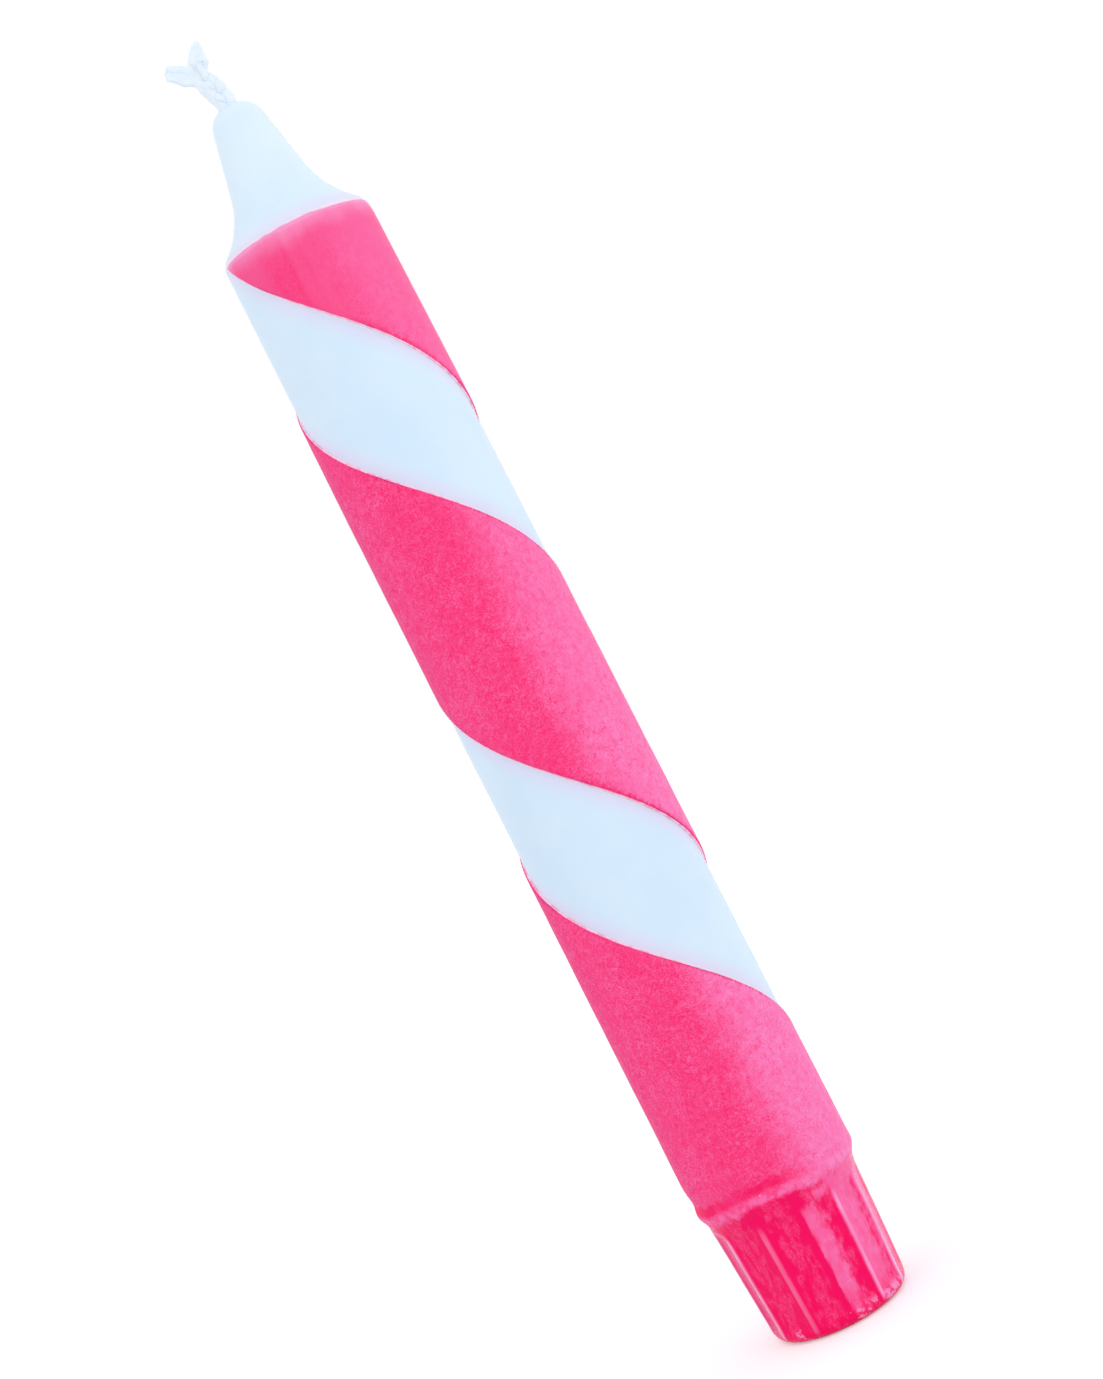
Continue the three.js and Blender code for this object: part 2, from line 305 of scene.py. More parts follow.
def draw_foot_and_lip(profile, tip, gap):
    """Outline from the base, round its edge and up the foot, then out round the lip to the taper."""
    edge = foot_radius_at(base_edge_radius) - base_edge_radius + gap
    tip = draw_arc(profile, tip, edge, base_edge_radius, math.radians(90), rows=6)
    tip = draw_run(profile, tip, foot_radius_at(foot_height) + gap, foot_height, rows=26)
    tip = draw_arc(profile, tip, foot_top_radius + gap + lip_hollow_radius, foot_height, -lip_lean, rows=5)
    return draw_arc(profile, tip, taper_bottom_radius + gap - lip_crown_radius, lip_top, lip_lean, rows=6)


def turn_outline(profile):
    """Spins the outline once round the candle's axis, starting from a ridge of the foot."""
    first_ridge = Matrix.Rotation(first_ridge_angle - math.radians(90), 4, "Z")
    bmesh.ops.transform(profile, matrix=first_ridge, verts=profile.verts[:])
    whole = profile.verts[:] + profile.edges[:]
    turn = {"cent": (0, 0, 0), "axis": (0, 0, 1), "angle": math.tau, "steps": columns}
    bmesh.ops.spin(profile, geom=whole, use_merge=True, **turn)
    bmesh.ops.recalc_face_normals(profile, faces=profile.faces[:])


def angle_of(point):
    """Angle round the candle from its front, anticlockwise seen from above."""
    return math.atan2(point.x, -point.y)


def flutes_past(point):
    """How many flutes a point lies past the first ridge. One ridge on the left sits further round."""
    angle = angle_of(point)
    turned = left_ridge_turn * math.exp(-(((angle - left_ridge_angle) / left_ridge_reach) ** 2))
    return (angle + turned - first_ridge_angle) * flute_count / math.tau


def flute_share(point):
    """0 on a ridge of the foot and 1 in the middle of a flute."""
    hollow = math.hypot(math.sin(flutes_past(point) * math.pi), ridge_roundness) - ridge_roundness
    return (hollow / (math.hypot(1, ridge_roundness) - ridge_roundness)) ** flute_roundness


def flank_side(point):
    """Near 1 on the side of a flute that faces anticlockwise, near -1 on its other side and 0 between."""
    phase = flutes_past(point) % 1
    return 0 if min(phase, 1 - phase) < ridge_tolerance else math.cos(phase * math.pi)


def press_flutes(body):
    """Presses in the flutes, which run out at the top of the foot and above its bottom edge."""
    for vert in body.verts:
        if vert.co.z > foot_height or vert.co.xy.length < base_middle_radius:
            continue
        risen = max(vert.co.z - foot_height + flute_run_out, 0) / flute_run_out
        started = (vert.co.z - flute_start_height) / (flute_full_height - flute_start_height)
        started = math.sin(min(max(started, 0), 1) * math.radians(90)) ** 2
        depth = flute_depth * math.cos(risen * math.radians(90)) * started * flute_share(vert.co)
        vert.co.xy *= 1 - depth / vert.co.xy.length


def set_foot_askew(body):
    """Sets the foot a little out of line, and draws the body in a little above the lip on its left."""
    for vert in body.verts:
        if vert.co.xy.length < base_middle_radius:
            continue
        to_left = (1 - math.sin(angle_of(vert.co))) / 2
        off_waist = (vert.co.z - waist_height) / waist_half_height
        drawn_in = waist_depth * to_left * math.exp(-(off_waist**2))
        vert.co.xy *= 1 - drawn_in / vert.co.xy.length
        vert.co.x += max(foot_height - vert.co.z, 0) * math.tan(foot_lean)


def tape_distance(point):
    """How far a point is outside the edge of the stripe's tape, and below 0 where the tape lay."""
    end_height = stripe_low_at_front - stripe_fall * stripe_end_angle
    nearest = math.inf
    for whole_turns in (-1, 0, 1, 2):
        angle = angle_of(point) + whole_turns * math.tau
        risen = point.z - (stripe_low_at_front - stripe_fall * angle)
        beside = abs(risen - tape_rise / 2) - tape_rise / 2
        beyond = end_height - stripe_fall * stripe_end_angle - (point.z - stripe_fall * angle)
        nearest = min(nearest, max(beside, beyond) * math.cos(stripe_tilt))
    return nearest


def coat_edge_distance(point):
    """How far a point is inside the dip coat's edge, and below 0 on bare wax."""
    return min(coat_top - point.z, tape_distance(point))


def dress(body, name, node_names, finish):
    """Makes a finished piece of a mesh, in the place that the mesh gives it."""
    for face in body.faces:
        face.smooth = True
    data = bpy.data.meshes.new(name)
    body.to_mesh(data)
    body.free()
    data.set_sharp_from_angle(angle=sharp_angle)
    data.materials.append(finish)
    piece = bpy.data.objects.new(name, data)
    bpy.context.scene.collection.objects.link(piece)
    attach(piece, "root")
    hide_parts(*node_names)


def new_finish(name, looks):
    """A material with its shader, whose inputs start with the looks given."""
    finish = bpy.data.materials.new(name)
    finish.use_nodes = True
    tree = finish.node_tree
    tree.nodes.clear()
    shader = add_node(tree, "ShaderNodeBsdfPrincipled", looks)
    add_node(tree, "ShaderNodeOutputMaterial", {"Surface": shader.outputs[0]})
    return finish, tree, shader


def new_group(name, inputs, outputs):
    """A node group whose inputs and outputs are numbers, apart from one called Place."""
    group = bpy.data.node_groups.new(name, "ShaderNodeTree")
    for label, value in inputs.items():
        kind = "NodeSocketVector" if label == "Place" else "NodeSocketFloat"
        socket = group.interface.new_socket(label, in_out="INPUT", socket_type=kind)
        if value is not None:
            socket.default_value = value
    for label in outputs:
        group.interface.new_socket(label, in_out="OUTPUT", socket_type="NodeSocketFloat")
    start = group.nodes.new("NodeGroupInput")
    end = group.nodes.new("NodeGroupOutput")
    return group, start.outputs, end.inputs


def use_group(tree, group, inputs):
    return add_node(tree, "ShaderNodeGroup", inputs, node_tree=group).outputs


def read_layer(tree, name):
    """A number that the mesh stores at each of its points."""
    return add_node(tree, "ShaderNodeAttribute", attribute_name=name).outputs["Fac"]


# Soft clouds in the wax, from fine and coarse noise together
clouds, clouds_in, clouds_out = new_group("wax_clouds", {"Place": None, "Size": 0.01}, ["Cloud"])
clouds_scale = add_math("DIVIDE", 1.0, clouds_in["Size"])
clouds_noise = add_node(clouds, "ShaderNodeTexNoise", {
    "Vector": clouds_in["Place"],
    "Scale": clouds_scale,
    "Detail": 3.0,
    "Roughness": 0.55,
})
clouds.links.new(add_ramp(clouds_noise.outputs[0], 0.3, 0.7), clouds_out["Cloud"])

body = bmesh.new()
edge_start = foot_radius_at(base_edge_radius) - base_edge_radius
start = body.verts.new((edge_start, 0, 0))
tip = draw_foot_and_lip(body, start, 0)
tip = draw_run(body, tip, taper_radius_at(waist_top), waist_top, rows=12)
tip = draw_run(body, tip, taper_top_radius, shoulder_height, rows=58)
tip = draw_arc(body, tip, taper_top_radius - shoulder_radius, shoulder_height, shoulder_lean, rows=6)
flare_centre = neck_radius + flare_radius * math.cos(cone_lean)
flare_height = shoulder_height + (shoulder_radius + flare_radius) * math.sin(shoulder_lean)
tip = draw_arc(body, tip, flare_centre, flare_height, cone_lean - shoulder_lean, rows=16)
cone_top = flare_height - flare_radius * math.sin(cone_lean) + cone_height
tip = draw_run(body, tip, cone_top_radius, cone_top, rows=8)
dome_centre = cone_top_radius - dome_radius * math.cos(cone_lean)
dome_height = cone_top - dome_radius * math.sin(cone_lean)
dome_turn = math.acos((wick_hug_radius - dome_centre) / dome_radius) - cone_lean
tip = draw_arc(body, tip, dome_centre, dome_height, dome_turn, rows=14)
tip = draw_run(body, tip, wick_hug_radius, wick_pit_depth, rows=4)
tip = draw_run(body, tip, wick_pit_radius, wick_pit_depth, rows=2)
tip = draw_run(body, tip, wick_pit_radius, 0, rows=2)
tip = draw_run(body, tip, edge_start, 0, rows=6)
bmesh.ops.remove_doubles(body, verts=body.verts[:], dist=weld_distance)
turn_outline(body)
press_flutes(body)
set_foot_askew(body)
coat_edge = body.verts.layers.float.new("coat_edge")
for vert in body.verts:
    vert[coat_edge] = coat_edge_distance(vert.co) / mm

wax, tree, shader = new_finish("white_wax", {
    "Subsurface Weight": 0.3,
    "Subsurface Radius": (1.0, 0.8, 0.9),
    "Subsurface Scale": 2.5 * mm,
    "IOR": 1.44,
    "Specular IOR Level": 0.14,
})
wax_pale = (0.755, 0.892, 1.0, 1)
wax_milky = (0.72, 0.86, 0.995, 1)
wax_taped = (0.70, 0.855, 1.0, 1)
wax_taped_milky = (0.665, 0.825, 0.99, 1)
wax_stained = (0.88, 0.60, 0.88, 1)
wax_fringe = (1.0, 0.80, 0.93, 1)
wax_fleck = (0.28, 0.55, 0.86, 1)
taped_fade_top = shoulder_height + 12 * mm
taped_fade_bottom = shoulder_height + 2 * mm
fleck_place = (0.66 * mm, -11.0 * mm, 67.5 * mm)
fleck_radius = 0.2 * mm
fleck_strength = 0.6

# Distances from the coat's edge in millimetres, then the share of colour at each
stain_ramp = (-3.2, 0.15, 0.0, 0.36)
fringe_ramp = (-0.4, 0.0, 0.0, 0.7)

place = add_node(tree, "ShaderNodeTexCoord").outputs["Object"]
cloud = use_group(tree, clouds, {"Place": place, "Size": 12 * mm})["Cloud"]
bare = read_layer(tree, "coat_edge")
rise = add_node(tree, "ShaderNodeSeparateXYZ", {0: place}).outputs["Z"]
taped = add_ramp(rise, taped_fade_top, taped_fade_bottom)
colour = add_mix(cloud, wax_pale, wax_milky)
colour = add_mix(taped, colour, add_mix(cloud, wax_taped, wax_taped_milky))
colour = add_mix(add_ramp(bare, *stain_ramp), colour, wax_stained)
colour = add_mix(add_ramp(bare, *fringe_ramp), colour, wax_fringe)
fleck = add_spot(place, fleck_place, fleck_radius)
colour = add_mix(multiply(fleck, fleck_strength), colour, wax_fleck)
tree.links.new(colour, shader.inputs["Base Color"])
fine = use_group(tree, clouds, {"Place": place, "Size": 1.6 * mm})["Cloud"]
tree.links.new(spread(fine, 0.34, 0.46), shader.inputs["Roughness"])
dents = add_node(tree, "ShaderNodeBump", {"Height": fine, "Strength": 0.12, "Distance": 0.05 * mm})
tree.links.new(dents.outputs[0], shader.inputs["Normal"])
dress(body, "white_wax_body", ["wax_body"], wax)


# Dip coat
# Pink wax that the taped candle was dipped in, a skin half a millimetre thick that thins and fades towards
# its top edge and starts a hair under the white surface. Where the tape was, it ends in a broken step.
coat_gap = -0.02 * mm
coat_thickness = 0.48 * mm
coat_top_thickness = 0.25 * mm
coat_drain_length = 35 * mm
coat_waviness = 0.06
coat_unevenness = 0.04
rim_feather_height = 1.5 * mm
rim_share = 0.25
rim_wave = 0.2 * mm
edge_wave = 0.05 * mm
edge_chip = 0.16 * mm
chip_threshold = 0.35
edge_chamfer = 0.3 * mm
edge_share = 0.4
lip_bead = 0.13 * mm
lip_bead_height = foot_height + 2.3 * mm
lip_bead_half_height = 0.8 * mm
lip_bead_wave = 0.5 * mm
lip_bead_evenness = 0.35
# Spread of the painted highlights along the ridges of the foot
highlight_half_angle = math.radians(3.8)
least_highlight_angle = math.radians(1)
highlight_at_back = 0.6
highlight_front_gain = 2
highlight_front_shift = 0.2
tape_edge_tolerance = 0.02 * mm


def ragged(point, size, seed):
    """Noise from -1 to 1 over the surface, with lumps of that size."""
    return noise.noise(point / size + Vector((seed, seed, seed)))


def shoulder_radius_at(height):
    above = max(height - shoulder_height, 0)
    return taper_top_radius - shoulder_radius + math.sqrt(shoulder_radius**2 - above**2)


skin = bmesh.new()
start = skin.verts.new((edge_start + coat_gap, 0, 0))
tip = draw_foot_and_lip(skin, start, coat_gap)
stripe_row = stripe_low_at_front - stripe_pitch * first_ridge_angle / math.tau
rows_below = math.floor((stripe_row - lip_top) / row_height)
rows_above = math.floor((shoulder_height - stripe_row) / row_height)
lowest_row = stripe_row - rows_below * row_height
highest_row = stripe_row + rows_above * row_height
tip = draw_run(skin, tip, taper_radius_at(lowest_row) + coat_gap, lowest_row, rows=1)
tip = draw_run(skin, tip, taper_radius_at(highest_row) + coat_gap, highest_row, rows_below + rows_above)
tip = draw_run(skin, tip, taper_top_radius + coat_gap, shoulder_height, rows=1)
rim_turn = math.asin((coat_top - shoulder_height) / shoulder_radius)
draw_arc(skin, tip, taper_top_radius + coat_gap - shoulder_radius, shoulder_height, rim_turn, rows=2)
turn_outline(skin)
flute = skin.verts.layers.float.new("flute")
flank = skin.verts.layers.float.new("flank")
ridge_highlight = skin.verts.layers.float.new("ridge_highlight")
for vert in skin.verts:
    vert[flute] = flute_share(vert.co)
    vert[flank] = flank_side(vert.co)
    # The ridge_highlight layer places painted highlights on the ridge crests, strongest at the left and
    # right of the front
    off_ridge = abs((flutes_past(vert.co) + 0.5) % 1 - 0.5) * math.tau / flute_count
    to_the_sides = abs(math.sin(angle_of(vert.co) - least_highlight_angle))
    at_front = min(max(highlight_front_gain * math.cos(angle_of(vert.co)) + highlight_front_shift, 0), 1)
    vert[ridge_highlight] = max(1 - off_ridge / highlight_half_angle, 0) * to_the_sides * (highlight_at_back + (1 - highlight_at_back) * at_front)
press_flutes(skin)
set_foot_askew(skin)

# The stripe is cut out along the tape's edges, which run through corners of the grid
on_tape_edge = [vert for vert in skin.verts if abs(tape_distance(vert.co)) < tape_edge_tolerance]
bmesh.ops.connect_verts(skin, verts=on_tape_edge)
under_tape = [face for face in skin.faces if tape_distance(face.calc_center_median()) < 0]
bmesh.ops.delete(skin, geom=under_tape, context="FACES")
coat_edge = skin.verts.layers.float.new("coat_edge")
for vert in skin.verts:
    vert[coat_edge] = coat_edge_distance(vert.co) / mm

# The broken step wanders a little from the tape's edge, and the top edge waves
for vert in skin.verts:
    if not vert.is_boundary or vert.co.z < lip_top:
        continue
    if vert.co.z > coat_top - level_tolerance:
        wave = ragged(vert.co, 5 * mm, 3) + 0.7 * ragged(vert.co, 1.2 * mm, 4) - 0.5
        height = vert.co.z + rim_wave * wave
        vert.co.xy *= (shoulder_radius_at(height) + coat_gap) / vert.co.xy.length
        vert.co.z = height
        continue
    chip = max(ragged(vert.co, 1.1 * mm, 7) - chip_threshold, 0) * edge_chip
    shift = edge_wave * ragged(vert.co, 0.7 * mm, 5) + chip
    angle = angle_of(vert.co)
    sideways = Vector((math.cos(angle), math.sin(angle), 0))
    vert.co += (sideways * math.sin(stripe_tilt) + Vector((0, 0, math.cos(stripe_tilt)))) * shift


def coat_thickness_at(vert):
    """Full below, thin where the coat drained at its top, rounded off at its edges, beaded on the lip."""
    drained = min(max(coat_top - vert.co.z, 0) / coat_drain_length, 1)
    thickness = coat_top_thickness + (coat_thickness - coat_top_thickness) * drained
    to_rim = min(max(coat_top - vert.co.z, 0) / rim_feather_height, 1)
    to_edge = min(max(vert[coat_edge] * mm, 0) / edge_chamfer, 1)
    thickness *= (rim_share + (1 - rim_share) * to_rim) * (edge_share + (1 - edge_share) * to_edge)
    waves = coat_waviness * ragged(vert.co, 6 * mm, 1)
    thickness *= 1 + waves + coat_unevenness * ragged(vert.co, 1.7 * mm, 2)
    bead_height = lip_bead_height + lip_bead_wave * ragged(vert.co, 7 * mm, 8)
    bead = math.exp(-(((vert.co.z - bead_height) / lip_bead_half_height) ** 2))
    return thickness + lip_bead * bead * (lip_bead_evenness + ragged(vert.co, 3 * mm, 9))


grown = bmesh.ops.extrude_face_region(skin, geom=skin.faces[:], use_keep_orig=True)["geom"]
for vert in [part for part in grown if isinstance(part, bmesh.types.BMVert)]:
    vert.co.xy *= 1 + coat_thickness_at(vert) / vert.co.xy.length
bmesh.ops.recalc_face_normals(skin, faces=skin.faces[:])

# How squarely each point faces the light on the right, for the painted sheen and painted shade on the coat
light_side = math.radians(60)
towards_light = Vector((math.sin(light_side), -math.cos(light_side), 0))
light_facing = skin.verts.layers.float.new("light_facing")
skin.normal_update()
for vert in skin.verts:
    vert[light_facing] = vert.normal.dot(towards_light)


def soften_round(mesh, layer):
    """Evens out a layer's values between neighbours at the same height, three times over."""
    for _ in range(3):
        values = {vert: vert[layer] for vert in mesh.verts}
        for vert in mesh.verts:
            others = [edge.other_vert(vert) for edge in vert.link_edges]
            beside = [values[other] for other in others if abs(other.co.z - vert.co.z) < level_tolerance]
            if beside:
                vert[layer] = (values[vert] + sum(beside) / len(beside)) / 2


soften_round(skin, light_facing)
soften_round(skin, flank)

# Worm-like crystals that bloom in a dip coat as it cools, as lighter and darker squiggles
crystals, crystals_in, crystals_out = new_group(
    "wax_crystals", {"Place": None, "Size": 0.001, "Width": 0.1}, ["Light", "Dark"])
crystals_scale = add_math("DIVIDE", 1.0, crystals_in["Size"])
for label, seed in (("Light", 0.0), ("Dark", 3.7)):
    shift = {0: crystals_in["Place"], 1: (seed, 0, 0)}
    shifted = add_node(crystals, "ShaderNodeVectorMath", shift, operation="ADD")
    squiggle = add_node(crystals, "ShaderNodeTexNoise", {
        "Vector": shifted.outputs[0],
        "Scale": crystals_scale,
        "Detail": 1.5,
        "Roughness": 0.6,
        "Distortion": 1.2,
    })
    off_line = add_math("ABSOLUTE", add_math("SUBTRACT", squiggle.outputs[0], 0.5))
    off_line = add_math("DIVIDE", off_line, crystals_in["Width"])
    line = add_math("SUBTRACT", 1.0, off_line, clamp=True)
    crystals.links.new(line, crystals_out[label])

pink, tree, shader = new_finish("pink_wax", {
    "Subsurface Weight": 0.12,
    "Subsurface Radius": (1.0, 0.3, 0.5),
    "Subsurface Scale": 0.8 * mm,
    "IOR": 1.44,
    "Specular IOR Level": 0.1,
})
pink_deep = (0.965, 0.002, 0.125, 1)
pink_full = (0.98, 0.025, 0.172, 1)
pink_bloom = (0.99, 0.115, 0.32, 1)
# Colour of the painted sheen, and of the light crystals away from it
pink_sheen_and_crystal = (1.0, 0.225, 0.55, 1)
# Colour of the light crystals under the painted sheen
pink_crystal_in_sheen = (1.0, 0.36, 0.70, 1)
# Painted shade on the side turned away from the light
pink_far_side_shade = (0.84, 0.012, 0.20, 1)
# Painted highlights on the ridges, and the paler wax in chips
pink_highlight_and_chip = (1.0, 0.45, 0.80, 1)
pink_faded = (1.0, 0.36, 0.64, 1)
# Painted light: the glint on the lip, the highlights on the ridge crests and the glow through the coat's
# thin broken edge
pink_painted_light = (0.98, 0.70, 0.89, 1)
pink_dark_line = (0.60, 0.008, 0.18, 1)

# A painted glint on the lip
glint_place = (-2.6 * mm, -11.25 * mm, 20.9 * mm)
glint_radius = 0.3 * mm

# Heights in millimetres where a look of the coat starts and where it is full
bloom_heights = (156, 132)
streak_heights = (125, 150)
fade_heights = (153.5, 158.2)
pale_heights = (156.0, 159.4)
rim_heights = (158.45, 158.9)
below_rim_heights = (158.6, 158.0)
foot_heights = (18.7, 18.0)
lip_shade_bottom = (19.7, 20.2)
lip_shade_top = (21.7, 20.9)
lip_highlight_bottom = (18.3, 18.9)
lip_highlight_top = (20.0, 19.3)
above_lip_heights = (22, 23)
ridge_highlight_heights = (17.4, 15.4)
ridge_highlight_bottom = (0.6, 1.6)
crest_highlight_heights = (15, 9)
chip_heights = (2.4, 1.3)
sheen_heights = (150, 40)
flank_heights = (17.6, 15.6)
base_sheen_heights = (1.5, 5.5)

# How squarely the wax faces the light on the right where a painted sheen or painted shade starts and where
# it is full
sheen_facings = (0.46, 1.0)
far_sheen_facings = (0.15, -0.2)
foot_sheen_facings = (0.6, 0.9)
far_side_shade_facings = (-0.3, -0.75)
lip_shade_facings = (0.8, 0.45)

# Distances inside the coat's edge in millimetres, and roughness of the wax
dark_line_reach = (0.32, 0.16)
edge_glow_reach = (0.16, 0.05)
body_roughness = 0.44
foot_roughness = 0.22

place = add_node(tree, "ShaderNodeTexCoord").outputs["Object"]
place_parts = add_node(tree, "ShaderNodeSeparateXYZ", {0: place}).outputs
height = multiply(place_parts["Z"], 1 / mm)
inside = read_layer(tree, "coat_edge")
flute_middle = read_layer(tree, "flute")
flank_share = read_layer(tree, "flank")
ridge_highlight_share = read_layer(tree, "ridge_highlight")
facing = read_layer(tree, "light_facing")
patches = use_group(tree, clouds, {"Place": place, "Size": 7 * mm})["Cloud"]
blotches = use_group(tree, clouds, {"Place": place, "Size": 1.1 * mm})["Cloud"]
worms = use_group(tree, crystals, {"Place": place, "Size": 0.85 * mm, "Width": 0.055})
specks = use_group(tree, crystals, {"Place": place, "Size": 0.5 * mm, "Width": 0.06})

# The crystals are strong on the body, faint near the top edge and patchy everywhere
on_body = add_ramp(height, *bloom_heights, 0.35, 1.0)
sideways = add_math("MULTIPLY_ADD", place_parts["X"], 1 / mm, 1.5)
lip_rise = add_ramp(add_math("ABSOLUTE", sideways), 7.5, 1.0, 0.4, 1.1)
lip_height = add_math("SUBTRACT", height, lip_rise)
lip_height = plus(lip_height, spread(patches, -0.3, 0.3))
lip_height = plus(lip_height, spread(blotches, -0.15, 0.15))
in_foot = add_ramp(lip_height, *foot_heights)
bloom = multiply(on_body, spread(patches, 0.55, 0.85))
light = multiply(worms["Light"], spread(blotches, 0.5, 0.85))
light = add_math("MAXIMUM", light, multiply(specks["Light"], 0.55))
dark = multiply(worms["Dark"], spread(blotches, 1.0, 0.3))
dark = add_math("MAXIMUM", dark, multiply(specks["Dark"], 0.5))

# In the foot they keep to the middles of the flutes, drawn out, and the wax between is smooth and deep
drawn_place = add_node(tree, "ShaderNodeMapping", {"Vector": place, "Scale": (1, 1, 0.4)}).outputs[0]
drawn_out = use_group(tree, clouds, {"Place": drawn_place, "Size": 0.8 * mm})["Cloud"]
light = multiply(light, spread(in_foot, 1.0, 0.6))
middles = plus(flute_middle, spread(drawn_out, -0.35, 0.35))
foot_bloom = add_ramp(middles, 0.55, 1.1, 0.0, 0.62)
bloom = add_node(tree, "ShaderNodeMix", {0: in_foot, 2: bloom, 3: foot_bloom}, data_type="FLOAT").outputs[0]

ground = multiply(spread(blotches, 0.18, 0.28), bloom)
colour = add_mix(in_foot, pink_full, pink_deep)
colour = add_mix(ground, colour, pink_bloom)

# Painted sheen where the wax faces the light on the right, stronger towards the foot, where it keeps to the
# sides of the flutes that face that light
sheen_edge = plus(facing, spread(patches, -0.03, 0.03))
sheen = add_ramp(sheen_edge, *sheen_facings)
sheen = multiply(sheen, add_ramp(height, *sheen_heights, 0.58, 0.9))
flank_turn = multiply(flank_share, add_ramp(height, *flank_heights, 0.0, 0.3))
foot_sheen_edge = multiply(facing, plus(flank_turn, 1.0))
foot_sheen_edge = plus(foot_sheen_edge, spread(blotches, -0.03, 0.03))
foot_sheen_edge = plus(foot_sheen_edge, spread(drawn_out, -0.06, 0.04))
foot_sheen = add_ramp(foot_sheen_edge, *foot_sheen_facings, 0.0, 0.75)
foot_sheen = multiply(foot_sheen, add_ramp(height, *base_sheen_heights, 0.45, 1.0))
foot_sheen = multiply(foot_sheen, spread(drawn_out, 0.8, 1.0))
sheen = plus(sheen, add_ramp(facing, *far_sheen_facings, 0.0, 0.08))
sheen = add_node(tree, "ShaderNodeMix", {0: in_foot, 2: sheen, 3: foot_sheen}, data_type="FLOAT").outputs[0]
sheen = multiply(sheen, spread(blotches, 0.85, 1.0))
colour = add_mix(sheen, colour, pink_sheen_and_crystal)
clear = spread(sheen, 0.95, 0.75)
# Painted shade on the side turned away from the light on the right
far_side_shade = add_ramp(facing, *far_side_shade_facings, 0.0, 0.8)
colour = add_mix(far_side_shade, colour, pink_far_side_shade)
crystal_and_highlight_pink = add_mix(sheen, pink_sheen_and_crystal, pink_crystal_in_sheen)
colour = add_mix(multiply(light, bloom), colour, crystal_and_highlight_pink)
colour = add_mix(multiply(dark, multiply(bloom, clear)), colour, pink_deep)

# Streaks of drained wax in the top of the coat
streak_place = add_node(tree, "ShaderNodeMapping", {"Vector": place, "Scale": (1, 1, 0.06)}).outputs[0]
streaks = use_group(tree, clouds, {"Place": streak_place, "Size": 5 * mm})["Cloud"]
near_top = add_ramp(height, *streak_heights, 0.0, 0.7)
colour = add_mix(multiply(streaks, near_top), colour, pink_bloom)

# A painted shade darkens a band round the lip and a painted highlight runs in a paler line below it, both
# broken here and there
lip_shade = add_ramp(lip_height, *lip_shade_bottom)
lip_shade = multiply(lip_shade, add_ramp(lip_height, *lip_shade_top))
lip_shade = multiply(lip_shade, add_ramp(facing, *lip_shade_facings, 0.0, 0.9))
lip_shade = multiply(lip_shade, add_ramp(patches, 0.15, 0.6, 0.6, 1.0))
colour = add_mix(lip_shade, colour, pink_deep)
lip_highlight = add_ramp(lip_height, *lip_highlight_bottom)
lip_highlight = multiply(lip_highlight, add_ramp(lip_height, *lip_highlight_top))
lip_highlight = multiply(lip_highlight, spread(blotches, 0.1, 0.55))
colour = add_mix(lip_highlight, colour, crystal_and_highlight_pink)
# The painted glint on the lip
colour = add_mix(add_spot(place, glint_place, glint_radius), colour, pink_painted_light)

# The top edge fades out over the shoulder
top_height = plus(height, spread(patches, -0.4, 0.4))
top_height = plus(top_height, spread(streaks, -0.3, 0.3))
colour = add_mix(add_ramp(top_height, *fade_heights, 0.0, 0.55), colour, pink_bloom)
colour = add_mix(add_ramp(top_height, *pale_heights, 0.0, 0.6), colour, pink_faded)
rim_height = plus(height, spread(streaks, -0.12, 0.12))
colour = add_mix(add_ramp(rim_height, *rim_heights, 0.0, 0.7), colour, pink_faded)

# Painted highlights run along the crests of the foot's ridges, most at the left and right of its front
ridge_highlights = multiply(add_ramp(ridge_highlight_share, 0.12, 0.65), add_ramp(height, *ridge_highlight_heights))
ridge_highlights = multiply(ridge_highlights, add_ramp(patches, 0.2, 0.8, 0.55, 0.85))
ridge_highlights = multiply(ridge_highlights, add_ramp(height, *ridge_highlight_bottom))
colour = add_mix(ridge_highlights, colour, pink_highlight_and_chip)
crest_highlight = multiply(add_ramp(ridge_highlight_share, 0.5, 0.85), ridge_highlights)
crest_highlight = multiply(crest_highlight, add_ramp(height, *crest_highlight_heights, 0.3, 1.0))
crest_highlight = multiply(crest_highlight, spread(blotches, 0.5, 1.0))
colour = add_mix(crest_highlight, colour, pink_painted_light)

# A thin dark line follows the tape's edges here and there, and the broken edge itself carries a pale
# painted glow of light through the thin wax
below_top = add_ramp(height, *below_rim_heights)
line_share = multiply(add_ramp(patches, 0.4, 0.8, 0.0, 0.7), below_top)
dark_line = multiply(add_ramp(inside, *dark_line_reach), line_share)
colour = add_mix(dark_line, colour, pink_dark_line)
edge_glow = add_ramp(inside, *edge_glow_reach)
edge_glow = multiply(edge_glow, add_ramp(blotches, 0.2, 0.7, 0.6, 1.0))
edge_glow = multiply(edge_glow, add_ramp(height, *below_rim_heights, 0.5, 1.0))
edge_glow = multiply(edge_glow, add_ramp(height, *above_lip_heights))
colour = add_mix(edge_glow, colour, pink_painted_light)

# The edge of the base is chipped here and there and shows paler wax
chip_place = multiply(add_ramp(blotches, 0.5, 0.7), add_ramp(patches, 0.3, 0.5))
chips = multiply(chip_place, add_ramp(height, *chip_heights))
colour = add_mix(multiply(chips, 0.6), colour, pink_highlight_and_chip)
tree.links.new(colour, shader.inputs["Base Color"])

